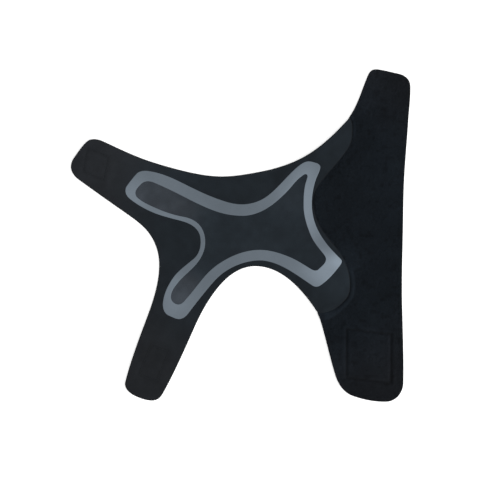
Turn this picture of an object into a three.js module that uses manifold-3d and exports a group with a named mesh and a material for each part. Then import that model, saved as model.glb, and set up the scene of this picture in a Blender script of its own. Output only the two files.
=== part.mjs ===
// Wrap-around ankle brace, opened out and lying flat with its printed face up.
// Millimetres. Seen from above, +X is to the right and +Y is up. The floor is z = 0.
import * as THREE from "three";
import { mergeVertices } from "three/addons/utils/BufferGeometryUtils.js";
import Module from "manifold-3d";

const wasm = await Module();
wasm.setup();

// Thicknesses of the layers, and the small gap between layers that touch.
const PANEL_THICK = 2.0;
const BAND_THICK = 2.5;
const HOOK_TAPE_THICK = 1.6;
const STRIPE_THICK = 0.35;
const LAYER_GAP = 0.3;
const STRIPE_GAP = 0.15;

// A sheet stays level for a shelf beyond what lies under it, then falls to the floor.
const SHELF = 9;
const FALL = 26;

// Hook tape reaches past its stitched line, and the stitches press a channel in the cloth above.
const STITCH_MARGIN = 1.5;
const CHANNEL_WIDTH = 1.2;
const CHANNEL_DEPTH = 0.5;
const TAPE_CORNER = 2;

// Fineness of the curves and of the cloth surface.
const CLOTH_CELL = 6;
const CURVE_STEP = 12;
const CURVE_TURN = THREE.MathUtils.degToRad(11);
const BLOCK_DEPTH = 20;
const PRISM_TOP = 30;

// An outline row is a point of the edge with the direction in which the edge runs on from there,
// in degrees from +X, going round with the cloth on the left.
const PANEL_EDGE = [
  { at: "upper strap, upper edge", x: -79.2, y: 63.8, heading: 161 },
  { at: "upper strap, upper corner", x: -116.0, y: 79.7, heading: 155 },
  { at: "upper strap, upper turn", x: -126.6, y: 81.5, heading: 191 },
  { at: "upper strap, end", x: -134.0, y: 75.8, heading: 230 },
  { at: "upper strap, end, lower part", x: -140.8, y: 66.6, heading: 234 },
  { at: "upper strap, tip", x: -143.8, y: 59.3, heading: 265 },
  { at: "upper strap, lower corner", x: -137.2, y: 47.3, heading: 324 },
  { at: "upper strap, lower edge", x: -98.7, y: 19.9, heading: 325 },
  { at: "left bay, upper side", x: -82.2, y: 7.1, heading: 316 },
  { at: "left bay", x: -69.0, y: -24.6, heading: 270 },
  { at: "lower strap, left edge", x: -79.2, y: -69.2, heading: 249.5 },
  { at: "lower strap, left corner", x: -97.7, y: -124.0, heading: 255.5 },
  { at: "lower strap, end", x: -90.1, y: -135.8, heading: 334 },
  { at: "lower strap, end, right part", x: -79.0, y: -139.7, heading: 350 },
  { at: "lower strap, right turn", x: -71.5, y: -139.5, heading: 20 },
  { at: "lower strap, right corner", x: -65.6, y: -133.7, heading: 61 },
  { at: "lower strap, right edge", x: -39.0, y: -78.0, heading: 66 },
  { at: "bottom bay, left side", x: -18.1, y: -43.1, heading: 50 },
  { at: "bottom bay", x: 12.5, y: -26.1, heading: 0 },
  { at: "bottom bay, right side", x: 57.5, y: -54.2, heading: 308 },
  { at: "lower lobe, left corner", x: 64.0, y: -63.5, heading: 302 },
  { at: "lower lobe, bottom", x: 73.1, y: -65.0, heading: 15 },
  { at: "lower lobe, turn", x: 90.1, y: -53.1, heading: 53 },
  { at: "lower lobe, tip", x: 93.1, y: -40.8, heading: 91 },
  { at: "lower lobe, back", x: 87.0, y: -19.0, heading: 119 },
  { at: "right bay, lower side", x: 67.7, y: 7.4, heading: 120 },
  { at: "right bay", x: 61.5, y: 28.9, heading: 92 },
  { at: "right bay, upper side", x: 71.6, y: 49.5, heading: 51 },
  { at: "upper lobe, turn", x: 91.5, y: 74.2, heading: 58 },
  { at: "upper lobe, tip", x: 95.0, y: 88.4, heading: 90 },
  { at: "upper lobe, corner", x: 94.0, y: 97.4, heading: 110 },
  { at: "upper lobe, top", x: 91.2, y: 98.6, heading: 228 },
  { at: "top bay, right side", x: 49.3, y: 64.4, heading: 206 },
  { at: "top bay, right part", x: 14.6, y: 53.7, heading: 190.5 },
  { at: "top bay", x: -15.3, y: 50.1, heading: 180 },
  { at: "top bay, left part", x: -47.6, y: 54.7, heading: 166.5 },
];

// The rows that begin with lap are the band's hidden edge under the panel.
const BAND_EDGE = [
  { at: "top tab, end", x: 118.5, y: 140.7, heading: 170 },
  { at: "top tab, left turn", x: 112.2, y: 140.5, heading: 203 },
  { at: "top tab, left corner", x: 107.0, y: 133.1, heading: 248 },
  { at: "top tab, left edge", x: 93.8, y: 102.7, heading: 238 },
  { at: "lap, upper lobe", x: 76.0, y: 76.0, heading: 230 },
  { at: "lap, right bay", x: 52.0, y: 30.0, heading: 270 },
  { at: "lap, lower side", x: 73.0, y: -16.0, heading: 300 },
  { at: "lap, lower lobe", x: 83.0, y: -41.0, heading: 270 },
  { at: "lap, lower corner", x: 65.9, y: -62.0, heading: 230 },
  { at: "bottom tab, left edge", x: 67.7, y: -71.7, heading: 287 },
  { at: "bottom tab, left edge, end", x: 80.3, y: -118.1, heading: 287 },
  { at: "bottom tab, left corner", x: 95.2, y: -136.1, heading: 340 },
  { at: "bottom tab, end", x: 123.5, y: -141.1, heading: 1 },
  { at: "bottom tab, right corner", x: 138.2, y: -125.0, heading: 88.8 },
  { at: "right edge, lower part", x: 137.1, y: -45.1, heading: 90 },
  { at: "right edge, middle", x: 138.0, y: 8.0, heading: 89 },
  { at: "right edge, upper part", x: 139.4, y: 55.3, heading: 86.2 },
  { at: "right edge, top", x: 142.4, y: 97.0, heading: 86.5 },
  { at: "top tab, right corner", x: 144.3, y: 125.5, heading: 90 },
  { at: "top tab, right turn", x: 141.9, y: 133.1, heading: 131 },
  { at: "top tab, end, right part", x: 134.4, y: 137.2, heading: 167.5 },
];

const STRIPE_OUTER_EDGE = [
  { at: "upper right arm, left edge", x: 49.6, y: 59.1, heading: 218.5 },
  { at: "top side", x: 35.1, y: 44.9, heading: 226 },
  { at: "top hollow, right part", x: 15.3, y: 29.2, heading: 202 },
  { at: "top hollow", x: 0.5, y: 26.4, heading: 179 },
  { at: "upper left arm, root", x: -19.1, y: 30.9, heading: 160.5 },
  { at: "upper left arm, top edge", x: -50.0, y: 44.9, heading: 153.5 },
  { at: "upper left arm, top corner", x: -78.6, y: 54.7, heading: 173 },
  { at: "upper left arm, end", x: -88.3, y: 52.1, heading: 228 },
  { at: "upper left arm, end, lower part", x: -96.2, y: 42.2, heading: 234 },
  { at: "upper left arm, lower corner", x: -94.6, y: 31.8, heading: 319 },
  { at: "upper left arm, lower edge", x: -76.2, y: 20.4, heading: 335.5 },
  { at: "left hollow, start", x: -50.4, y: 12.4, heading: 345 },
  { at: "left hollow, upper part", x: -36.0, y: 3.6, heading: 303 },
  { at: "left hollow", x: -33.8, y: -5.7, heading: 270 },
  { at: "left hollow, lower part", x: -39.5, y: -19.6, heading: 221 },
  { at: "lower left arm, left edge", x: -57.6, y: -36.6, heading: 236 },
  { at: "lower left arm, left corner", x: -65.7, y: -56.5, heading: 263 },
  { at: "lower left arm, end", x: -60.6, y: -68.0, heading: 338 },
  { at: "lower left arm, end, right part", x: -52.0, y: -70.9, heading: 2 },
  { at: "lower left arm, right corner", x: -44.3, y: -66.1, heading: 53 },
  { at: "lower left arm, right edge", x: -27.5, y: -44.8, heading: 50.5 },
  { at: "bottom hollow, left part", x: -13.3, y: -30.8, heading: 34 },
  { at: "bottom hollow", x: 14.4, y: -21.2, heading: 3 },
  { at: "bottom hollow, right part", x: 37.6, y: -27.4, heading: 332 },
  { at: "lower right arm, bottom edge", x: 61.3, y: -42.6, heading: 327 },
  { at: "lower right arm, bottom corner", x: 67.6, y: -42.4, heading: 33 },
  { at: "lower right arm, end", x: 84.6, y: -25.1, heading: 53 },
  { at: "lower right arm, right corner", x: 85.3, y: -20.4, heading: 134 },
  { at: "right hollow, lower part", x: 71.1, y: -4.4, heading: 125 },
  { at: "right hollow, rising", x: 64.4, y: 7.3, heading: 113 },
  { at: "right hollow", x: 60.5, y: 27.2, heading: 90 },
  { at: "upper right arm, right edge", x: 63.9, y: 47.3, heading: 71.5 },
  { at: "upper right arm, tip", x: 67.7, y: 57.2, heading: 80 },
  { at: "upper right arm, tip corner", x: 63.8, y: 61.6, heading: 166 },
  { at: "upper right arm, top", x: 57.4, y: 62.8, heading: 184 },
];

const STRIPE_INNER_EDGE = [
  { at: "upper right arm, left edge", x: 51.9, y: 50.2, heading: 215 },
  { at: "top side", x: 39.9, y: 37.7, heading: 226 },
  { at: "top hollow, right part", x: 25.5, y: 25.0, heading: 215 },
  { at: "top hollow", x: 1.7, y: 16.7, heading: 180 },
  { at: "upper left arm, root", x: -20.6, y: 20.4, heading: 161 },
  { at: "upper left arm, top edge", x: -57.5, y: 37.6, heading: 154 },
  { at: "upper left arm, top corner", x: -73.5, y: 44.9, heading: 157 },
  { at: "upper left arm, end", x: -84.2, y: 43.7, heading: 226 },
  { at: "upper left arm, end, lower part", x: -88.9, y: 37.4, heading: 254 },
  { at: "upper left arm, lower corner", x: -87.2, y: 31.9, heading: 319 },
  { at: "upper left arm, lower edge", x: -71.4, y: 23.1, heading: 336 },
  { at: "left hollow, start", x: -48.5, y: 15.9, heading: 350 },
  { at: "left hollow, upper part", x: -33.6, y: 7.3, heading: 304 },
  { at: "left hollow", x: -29.9, y: -5.5, heading: 270 },
  { at: "left hollow, lower part", x: -36.5, y: -23.1, heading: 232 },
  { at: "lower left arm, left edge", x: -52.9, y: -39.9, heading: 231 },
  { at: "lower left arm, left corner", x: -59.0, y: -51.9, heading: 268 },
  { at: "lower left arm, end", x: -52.5, y: -58.5, heading: 0 },
  { at: "lower left arm, right corner", x: -45.3, y: -52.9, heading: 48 },
  { at: "lower left arm, right edge", x: -29.4, y: -33.6, heading: 48 },
  { at: "bottom hollow, left part", x: -13.4, y: -20.9, heading: 30 },
  { at: "bottom hollow", x: 14.9, y: -12.2, heading: 2 },
  { at: "bottom hollow, right part", x: 41.3, y: -18.1, heading: 338 },
  { at: "lower right arm, bottom edge", x: 60.0, y: -28.6, heading: 329 },
  { at: "lower right arm, bottom corner", x: 66.3, y: -28.6, heading: 46 },
  { at: "lower right arm, end", x: 72.4, y: -21.0, heading: 78 },
  { at: "lower right arm, right corner", x: 70.2, y: -15.4, heading: 129 },
  { at: "right hollow, lower part", x: 59.3, y: 0.8, heading: 112 },
  { at: "right hollow", x: 53.5, y: 25.5, heading: 90 },
  { at: "upper right arm, right edge", x: 55.1, y: 43.8, heading: 76 },
  { at: "upper right arm, tip", x: 56.8, y: 49.7, heading: 78 },
  { at: "upper right arm, apex", x: 54.9, y: 52.0, heading: 190 },
];

// The stitched square of each hook patch: its middle, its length along the heading, its width,
// and how far its cut ends lean from square.
const UPPER_STRAP_HOOK = { x: -122.4, y: 60.5, length: 19, width: 20, heading: -23, lean: 12 };
const LOWER_STRAP_HOOK = { x: -73.6, y: -108.2, length: 27, width: 16, heading: 248, lean: 0 };
const BAND_HOOK = { x: 108.8, y: -102.1, length: 41.2, width: 38, heading: 90, lean: -7 };

// Places where the cloth stands a little off the floor: a round swell of this radius and height.
const SWELLS = [
  { at: "middle of the panel", x: 4, y: 0, radius: 62, height: 3.0 },
  { at: "root of the upper strap", x: -78, y: 42, radius: 34, height: 1.8 },
  { at: "root of the lower strap", x: -58, y: -58, radius: 30, height: 1.6 },
  { at: "top tab of the band", x: 126, y: 104, radius: 34, height: 1.8 },
];

// Points along a closed edge: each row is joined to the next by a cubic curve close to an arc.
function edgePoints(rows) {
  const points = [];
  rows.forEach((row, i) => {
    const next = rows[(i + 1) % rows.length];
    const start = new THREE.Vector2(row.x, row.y);
    const end = new THREE.Vector2(next.x, next.y);
    const startAngle = THREE.MathUtils.degToRad(row.heading);
    const endAngle = THREE.MathUtils.degToRad(next.heading);
    const turn = THREE.MathUtils.euclideanModulo(endAngle - startAngle + Math.PI, 2 * Math.PI) - Math.PI;
    const chord = start.distanceTo(end);
    const handle = chord / (3 * Math.cos(turn / 4) ** 2);
    const leave = new THREE.Vector2(Math.cos(startAngle), Math.sin(startAngle)).multiplyScalar(handle);
    const arrive = new THREE.Vector2(Math.cos(endAngle), Math.sin(endAngle)).multiplyScalar(handle);
    const curve = new THREE.CubicBezierCurve(start, start.clone().add(leave), end.clone().sub(arrive), end);
    const steps = Math.max(1, Math.ceil(Math.abs(turn) / CURVE_TURN), Math.ceil(chord / CURVE_STEP));
    points.push(...curve.getPoints(steps).slice(0, -1));
  });
  return points;
}

// A leaning square with rounded corners, grown by a margin all round.
function tapePoints(tape, margin, corner) {
  const along = THREE.MathUtils.degToRad(tape.heading);
  const across = along + Math.PI / 2 + THREE.MathUtils.degToRad(tape.lean);
  const half = new THREE.Vector2(Math.cos(along), Math.sin(along)).multiplyScalar(tape.length / 2 + margin);
  const side = new THREE.Vector2(Math.cos(across), Math.sin(across)).multiplyScalar(tape.width / 2 + margin);
  const middle = new THREE.Vector2(tape.x, tape.y);
  const corners = [
    middle.clone().sub(half).sub(side),
    middle.clone().add(half).sub(side),
    middle.clone().add(half).add(side),
    middle.clone().sub(half).add(side),
  ];
  const points = [];
  corners.forEach((point, i) => {
    const before = corners[(i + 3) % 4].clone().sub(point).setLength(corner).add(point);
    const after = corners[(i + 1) % 4].clone().sub(point).setLength(corner).add(point);
    points.push(...new THREE.QuadraticBezierCurve(before, point, after).getPoints(4));
  });
  return points;
}

// Distance from a place to an outline, 0 inside it.
function distanceOutside(points, x, y) {
  let inside = false;
  let nearest = Infinity;
  points.forEach((start, i) => {
    const end = points[(i + 1) % points.length];
    if (start.y > y !== end.y > y) {
      if (x < start.x + ((y - start.y) / (end.y - start.y)) * (end.x - start.x)) {
        inside = !inside;
      }
    }
    const runX = end.x - start.x;
    const runY = end.y - start.y;
    const along = ((x - start.x) * runX + (y - start.y) * runY) / (runX * runX + runY * runY);
    const t = THREE.MathUtils.clamp(along, 0, 1);
    nearest = Math.min(nearest, Math.hypot(x - start.x - t * runX, y - start.y - t * runY));
  });
  return inside ? 0 : nearest;
}

// 1 over an outline and on the shelf round it, easing to 0 across the fall.
function cover(points, x, y) {
  return 1 - THREE.MathUtils.smoothstep(distanceOutside(points, x, y), SHELF, SHELF + FALL);
}

const panelEdge = edgePoints(PANEL_EDGE);
const bandEdge = edgePoints(BAND_EDGE);
const upperStrapTape = tapePoints(UPPER_STRAP_HOOK, STITCH_MARGIN, TAPE_CORNER);
const lowerStrapTape = tapePoints(LOWER_STRAP_HOOK, STITCH_MARGIN, TAPE_CORNER);
const bandTape = tapePoints(BAND_HOOK, STITCH_MARGIN, TAPE_CORNER);

// Height of the cloth off the floor through its swells alone.
function swell(x, y) {
  let height = 0;
  for (const row of SWELLS) {
    const r = Math.min(1, Math.hypot(x - row.x, y - row.y) / row.radius);
    height += row.height * (1 - r * r) ** 2;
  }
  return height;
}

const TAPE_LIFT = HOOK_TAPE_THICK + LAYER_GAP;

function bandUnder(x, y) {
  return swell(x, y) + TAPE_LIFT * cover(bandTape, x, y);
}

function bandTop(x, y) {
  return bandUnder(x, y) + BAND_THICK;
}

// The panel rests on the floor, on its two strap patches and on the band.
function panelUnder(x, y) {
  const straps = TAPE_LIFT * Math.max(cover(upperStrapTape, x, y), cover(lowerStrapTape, x, y));
  const onBand = bandTop(x, y) + LAYER_GAP - swell(x, y);
  return swell(x, y) + straps + onBand * cover(bandEdge, x, y);
}

function panelTop(x, y) {
  return panelUnder(x, y) + PANEL_THICK;
}

function stripeUnder(x, y) {
  return panelTop(x, y) + STRIPE_GAP;
}

function stripeTop(x, y) {
  return stripeUnder(x, y) + STRIPE_THICK;
}

// A closed geometry as a solid for joining and cutting.
function toSolid(geometry) {
  const bare = geometry.clone();
  bare.deleteAttribute("normal");
  bare.deleteAttribute("uv");
  const merged = mergeVertices(bare, 1e-5);
  return new wasm.Manifold(
    new wasm.Mesh({
      numProp: 3,
      vertProperties: new Float32Array(merged.attributes.position.array),
      triVerts: new Uint32Array(merged.index.array),
    }),
  );
}

// An upright prism over an outline.
function prism(points, bottom, top) {
  const shape = new THREE.Shape(points);
  const geometry = new THREE.ExtrudeGeometry(shape, { depth: top - bottom, bevelEnabled: false });
  return toSolid(geometry.translate(0, 0, bottom));
}

// A block with a flat base whose top face follows a height, on a grid that all sheets share.
function blockUnder(height, points, rings) {
  const box = new THREE.Box2().setFromPoints(points);
  const left = (Math.floor(box.min.x / CLOTH_CELL) - rings) * CLOTH_CELL;
  const right = (Math.ceil(box.max.x / CLOTH_CELL) + rings) * CLOTH_CELL;
  const low = (Math.floor(box.min.y / CLOTH_CELL) - rings) * CLOTH_CELL;
  const high = (Math.ceil(box.max.y / CLOTH_CELL) + rings) * CLOTH_CELL;
  const wide = Math.round((right - left) / CLOTH_CELL);
  const deep = Math.round((high - low) / CLOTH_CELL);
  const geometry = new THREE.BoxGeometry(right - left, high - low, 2, wide, deep, 1);
  geometry.translate((left + right) / 2, (low + high) / 2, 0);
  const place = geometry.attributes.position;
  for (let i = 0; i < place.count; i += 1) {
    const onTop = place.getZ(i) > 0;
    place.setZ(i, onTop ? height(place.getX(i), place.getY(i)) : -BLOCK_DEPTH - rings);
  }
  return toSolid(geometry);
}

// A sheet between two heights, cut to an outline.
function sheet(points, under, top) {
  const layer = blockUnder(top, points, 1).subtract(blockUnder(under, points, 2));
  return layer.intersect(prism(points, -BLOCK_DEPTH / 2, PRISM_TOP));
}

// The channel that a patch's stitches press into the sheet above it.
function stitchChannel(tape, top) {
  const floor = top(tape.x, tape.y) - CHANNEL_DEPTH;
  const outer = prism(tapePoints(tape, CHANNEL_WIDTH / 2, TAPE_CORNER / 2), floor, PRISM_TOP);
  const inner = prism(tapePoints(tape, -CHANNEL_WIDTH / 2, TAPE_CORNER / 2), floor - 1, PRISM_TOP + 1);
  return outer.subtract(inner);
}

function toMesh(solid, name, material) {
  const made = solid.getMesh();
  const geometry = new THREE.BufferGeometry();
  geometry.setAttribute("position", new THREE.BufferAttribute(new Float32Array(made.vertProperties), 3));
  geometry.setIndex(new THREE.BufferAttribute(new Uint32Array(made.triVerts), 1));
  geometry.computeVertexNormals();
  const mesh = new THREE.Mesh(geometry, material);
  mesh.name = name;
  return mesh;
}

const smoothCloth = new THREE.MeshStandardMaterial({ color: 0x24282c, roughness: 0.85, metalness: 0 });
const loopPile = new THREE.MeshStandardMaterial({ color: 0x171a1e, roughness: 0.95, metalness: 0 });
const greyFilm = new THREE.MeshStandardMaterial({ color: 0x6c757f, roughness: 0.6, metalness: 0 });
const hookTape = new THREE.MeshStandardMaterial({ color: 0x151618, roughness: 0.6, metalness: 0 });

const panelSolid = sheet(panelEdge, panelUnder, panelTop)
  .subtract(stitchChannel(UPPER_STRAP_HOOK, panelTop))
  .subtract(stitchChannel(LOWER_STRAP_HOOK, panelTop));

const bandSolid = sheet(bandEdge, bandUnder, bandTop).subtract(stitchChannel(BAND_HOOK, bandTop));

const stripeHole = prism(edgePoints(STRIPE_INNER_EDGE), -BLOCK_DEPTH, PRISM_TOP + 1);
const stripeSolid = sheet(edgePoints(STRIPE_OUTER_EDGE), stripeUnder, stripeTop).subtract(stripeHole);

const brace = new THREE.Group();
brace.add(toMesh(panelSolid, "support_panel", smoothCloth));
brace.add(toMesh(bandSolid, "loop_band", loopPile));
brace.add(toMesh(stripeSolid, "contour_stripe", greyFilm));
brace.add(toMesh(prism(upperStrapTape, 0, HOOK_TAPE_THICK), "hook_patch_upper_strap", hookTape));
brace.add(toMesh(prism(lowerStrapTape, 0, HOOK_TAPE_THICK), "hook_patch_lower_strap", hookTape));
brace.add(toMesh(prism(bandTape, 0, HOOK_TAPE_THICK), "hook_patch_band", hookTape));

export default brace;
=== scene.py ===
"""The ankle brace, opened out and lying on a pale floor, seen from straight above.

Sizes are in millimetres until a mesh is made, and the frame is the solids' own: +X towards the loop band,
+Y along the band, +Z up from the printed face, with the floor at z = 0.
"""

import bpy
import numpy as np
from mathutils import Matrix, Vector
from mathutils.geometry import delaunay_2d_cdt


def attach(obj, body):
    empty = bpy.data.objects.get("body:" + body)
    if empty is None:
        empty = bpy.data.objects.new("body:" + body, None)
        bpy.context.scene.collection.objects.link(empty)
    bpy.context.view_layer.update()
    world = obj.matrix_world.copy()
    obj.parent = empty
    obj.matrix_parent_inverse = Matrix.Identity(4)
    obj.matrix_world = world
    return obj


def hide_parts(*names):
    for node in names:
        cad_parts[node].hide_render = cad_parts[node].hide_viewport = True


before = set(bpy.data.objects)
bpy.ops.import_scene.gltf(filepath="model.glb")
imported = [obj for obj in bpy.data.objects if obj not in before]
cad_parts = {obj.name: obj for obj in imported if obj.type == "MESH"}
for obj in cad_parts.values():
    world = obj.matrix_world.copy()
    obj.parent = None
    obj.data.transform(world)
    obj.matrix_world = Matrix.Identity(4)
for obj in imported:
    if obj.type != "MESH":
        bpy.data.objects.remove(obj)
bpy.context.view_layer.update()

MM = 0.001

# Thicknesses of the layers, and the height from the floor to the cloth above the hook tape.
PANEL_THICK = 2.0
BAND_THICK = 2.5
TAPE_LIFT = 1.9
HOOK_HEIGHT = 0.85
FILM_THICK = 0.22
LAP_GAP = 0.06

# A sheet stays level for a shelf beyond what lies under it, then falls to the floor.
SHELF = 9.0
FALL = 26.0

# Spacing of the places along the edges and over the upper faces of the cloth.
PANEL_STEP = 0.75
BAND_STEP = 0.56
BAND_EDGE_STEP = 0.7
COARSE_EDGE_STEP = 1.6
PLACES_PER_CURVE = 48
PLACES_PER_CORNER = 9

# An edge row is a place on the edge with the direction in which the edge runs on, in degrees from +X.
PANEL_EDGE = [
    ("upper strap, upper edge", -79.2, 63.8, 161),
    ("upper strap, upper corner", -116.0, 79.7, 155),
    ("upper strap, upper turn", -126.6, 81.5, 191),
    ("upper strap, end", -134.0, 75.8, 230),
    ("upper strap, end, lower part", -140.8, 66.6, 234),
    ("upper strap, tip", -143.8, 59.3, 265),
    ("upper strap, lower corner", -137.2, 47.3, 324),
    ("upper strap, lower edge", -98.7, 19.9, 325),
    ("left bay, upper side", -82.2, 7.1, 316),
    ("left bay", -69.0, -24.6, 270),
    ("lower strap, left edge", -79.2, -69.2, 249.5),
    ("lower strap, left corner", -97.7, -124.0, 255.5),
    ("lower strap, end", -90.1, -135.8, 334),
    ("lower strap, end, right part", -79.0, -139.7, 350),
    ("lower strap, right turn", -71.5, -139.5, 20),
    ("lower strap, right corner", -65.6, -133.7, 61),
    ("lower strap, right edge", -39.0, -78.0, 66),
    ("bottom bay, left side", -18.1, -43.1, 50),
    ("bottom bay", 12.5, -26.1, 0),
    ("bottom bay, right side", 57.5, -54.2, 308),
    ("lower lobe, left corner", 64.0, -63.5, 302),
    ("lower lobe, bottom", 73.1, -65.0, 15),
    ("lower lobe, turn", 90.1, -53.1, 53),
    ("lower lobe, tip", 93.1, -40.8, 91),
    ("lower lobe, back", 87.0, -19.0, 119),
    ("right bay, lower side", 67.7, 7.4, 120),
    ("right bay", 61.5, 28.9, 92),
    ("right bay, upper side", 71.6, 49.5, 51),
    ("upper lobe, turn", 91.5, 74.2, 58),
    ("upper lobe, tip", 95.0, 88.4, 90),
    ("upper lobe, corner", 94.0, 97.4, 110),
    ("upper lobe, top", 91.2, 98.6, 228),
    ("top bay, right side", 49.3, 64.4, 206),
    ("top bay, right part", 14.6, 53.7, 190.5),
    ("top bay", -15.3, 50.1, 180),
    ("top bay, left part", -47.6, 54.7, 166.5),
]

BAND_EDGE = [
    ("top tab, end", 118.5, 140.7, 170),
    ("top tab, left turn", 112.2, 140.5, 203),
    ("top tab, left corner", 107.0, 133.1, 248),
    ("top tab, left edge", 93.8, 102.7, 238),
    ("lap, upper lobe", 76.0, 76.0, 230),
    ("lap, right bay", 52.0, 30.0, 270),
    ("lap, lower side", 73.0, -16.0, 300),
    ("lap, lower lobe", 83.0, -41.0, 270),
    ("lap, lower corner", 65.9, -62.0, 230),
    ("bottom tab, left edge", 67.7, -71.7, 287),
    ("bottom tab, left edge, end", 80.3, -118.1, 287),
    ("bottom tab, left corner", 95.2, -136.1, 340),
    ("bottom tab, end", 123.5, -141.1, 1),
    ("bottom tab, right corner", 138.2, -125.0, 88.8),
    ("right edge, lower part", 137.1, -45.1, 90),
    ("right edge, middle", 138.0, 8.0, 89),
    ("right edge, upper part", 139.4, 55.3, 86.2),
    ("right edge, top", 142.4, 97.0, 86.5),
    ("top tab, right corner", 144.3, 125.5, 90),
    ("top tab, right turn", 141.9, 133.1, 131),
    ("top tab, end, right part", 134.4, 137.2, 167.5),
]

STRIPE_OUTER_EDGE = [
    ("upper right arm, left edge", 49.6, 59.1, 218.5),
    ("top side", 35.1, 44.9, 226),
    ("top hollow, right part", 15.3, 29.2, 202),
    ("top hollow", 0.5, 26.4, 179),
    ("upper left arm, root", -19.1, 30.9, 160.5),
    ("upper left arm, top edge", -50.0, 44.9, 153.5),
    ("upper left arm, top corner", -78.6, 54.7, 173),
    ("upper left arm, end", -88.3, 52.1, 228),
    ("upper left arm, end, lower part", -96.2, 42.2, 234),
    ("upper left arm, lower corner", -94.6, 31.8, 319),
    ("upper left arm, lower edge", -76.2, 20.4, 335.5),
    ("left hollow, start", -50.4, 12.4, 345),
    ("left hollow, upper part", -36.0, 3.6, 303),
    ("left hollow", -33.8, -5.7, 270),
    ("left hollow, lower part", -39.5, -19.6, 221),
    ("lower left arm, left edge", -57.6, -36.6, 236),
    ("lower left arm, left corner", -65.7, -56.5, 263),
    ("lower left arm, end", -60.6, -68.0, 338),
    ("lower left arm, end, right part", -52.0, -70.9, 2),
    ("lower left arm, right corner", -44.3, -66.1, 53),
    ("lower left arm, right edge", -27.5, -44.8, 50.5),
    ("bottom hollow, left part", -13.3, -30.8, 34),
    ("bottom hollow", 14.4, -21.2, 3),
    ("bottom hollow, right part", 37.6, -27.4, 332),
    ("lower right arm, bottom edge", 61.3, -42.6, 327),
    ("lower right arm, bottom corner", 67.6, -42.4, 33),
    ("lower right arm, end", 84.6, -25.1, 53),
    ("lower right arm, right corner", 85.3, -20.4, 134),
    ("right hollow, lower part", 71.1, -4.4, 125),
    ("right hollow, rising", 64.4, 7.3, 113),
    ("right hollow", 60.5, 27.2, 90),
    ("upper right arm, right edge", 63.9, 47.3, 71.5),
    ("upper right arm, tip", 67.7, 57.2, 80),
    ("upper right arm, tip corner", 63.8, 61.6, 166),
    ("upper right arm, top", 57.4, 62.8, 184),
]

STRIPE_INNER_EDGE = [
    ("upper right arm, left edge", 51.9, 50.2, 215),
    ("top side", 39.9, 37.7, 226),
    ("top hollow, right part", 25.5, 25.0, 215),
    ("top hollow", 1.7, 16.7, 180),
    ("upper left arm, root", -20.6, 20.4, 161),
    ("upper left arm, top edge", -57.5, 37.6, 154),
    ("upper left arm, top corner", -73.5, 44.9, 157),
    ("upper left arm, end", -84.2, 43.7, 226),
    ("upper left arm, end, lower part", -88.9, 37.4, 254),
    ("upper left arm, lower corner", -87.2, 31.9, 319),
    ("upper left arm, lower edge", -71.4, 23.1, 336),
    ("left hollow, start", -48.5, 15.9, 350),
    ("left hollow, upper part", -33.6, 7.3, 304),
    ("left hollow", -29.9, -5.5, 270),
    ("left hollow, lower part", -36.5, -23.1, 232),
    ("lower left arm, left edge", -52.9, -39.9, 231),
    ("lower left arm, left corner", -59.0, -51.9, 268),
    ("lower left arm, end", -52.5, -58.5, 0),
    ("lower left arm, right corner", -45.3, -52.9, 48),
    ("lower left arm, right edge", -29.4, -33.6, 48),
    ("bottom hollow, left part", -13.4, -20.9, 30),
    ("bottom hollow", 14.9, -12.2, 2),
    ("bottom hollow, right part", 41.3, -18.1, 338),
    ("lower right arm, bottom edge", 60.0, -28.6, 329),
    ("lower right arm, bottom corner", 66.3, -28.6, 46),
    ("lower right arm, end", 72.4, -21.0, 78),
    ("lower right arm, right corner", 70.2, -15.4, 129),
    ("right hollow, lower part", 59.3, 0.8, 112),
    ("right hollow", 53.5, 25.5, 90),
    ("upper right arm, right edge", 55.1, 43.8, 76),
    ("upper right arm, tip", 56.8, 49.7, 78),
    ("upper right arm, apex", 54.9, 52.0, 190),
]

# Stitched squares: middle, length along the heading, width, how far the cut ends lean from square, the
# furrow that the stitches press (depth and width), and the painted shade of that furrow (how much darker
# the cloth is painted along it, and across what width).
UPPER_STRAP_HOOK = dict(
    x=-122.4, y=60.5, length=19.0, width=20.0, heading=-23.0, lean=12.0,
    furrow_depth=0.22, furrow_width=1.9, darker=0.12, dark_width=1.7,
)
LOWER_STRAP_HOOK = dict(
    x=-73.6, y=-108.2, length=27.0, width=16.0, heading=248.0, lean=0.0,
    furrow_depth=0.18, furrow_width=1.9, darker=0.09, dark_width=1.7,
)
BAND_HOOK = dict(
    x=108.8, y=-102.1, length=41.2, width=38.0, heading=90.0, lean=-7.0,
    furrow_depth=1.05, furrow_width=1.3, darker=0.28, dark_width=1.2,
)
STITCH_MARGIN = 1.5

# Beside a furrow the cloth puffs up: share of the furrow's depth, and how many furrow widths off.
PUFF = 0.22
PUFF_AWAY = 2.3

# Places where the cloth stands a little off the floor: middle, radius and height of a round swell.
SWELLS = [
    ("middle of the panel", 4, 0, 62, 3.0),
    ("root of the upper strap", -78, 42, 34, 1.8),
    ("root of the lower strap", -58, -58, 30, 1.6),
    ("top tab of the band", 126, 104, 34, 1.8),
]

# Unevenness of a face: height or share of the tone, size of the lumps, and shift on the lattice of lumps.
BAND_TUFTS = [(0.12, 2.3, 1), (0.16, 1.25, 2)]
BAND_WAVES = [(0.4, 26, 3)]
PANEL_WAVES = [(0.3, 23, 5), (0.05, 4.5, 6)]
PANEL_MOTTLE = [(0.18, 4.6, 11), (0.13, 9.5, 12)]
PILE_WEAR = [(0.18, 7.5, 10)]
WAVES_FROM_LAP = 8.0
TUFTS_FROM_LAP = 1.5

# Specks of the pile: size, shift on the lattice, and the two values of a mottle between which one sets in.
# The last number is what evens out the light that the flecks take.
PILE_PITS = (2.7, 8, 0.76, 0.9)
PILE_FLECKS = (3.6, 9, 0.68, 0.88)
PIT_DEPTH = 0.3
FLECK_SHADE = 0.27
FLECK_BALANCE = 0.03

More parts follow.
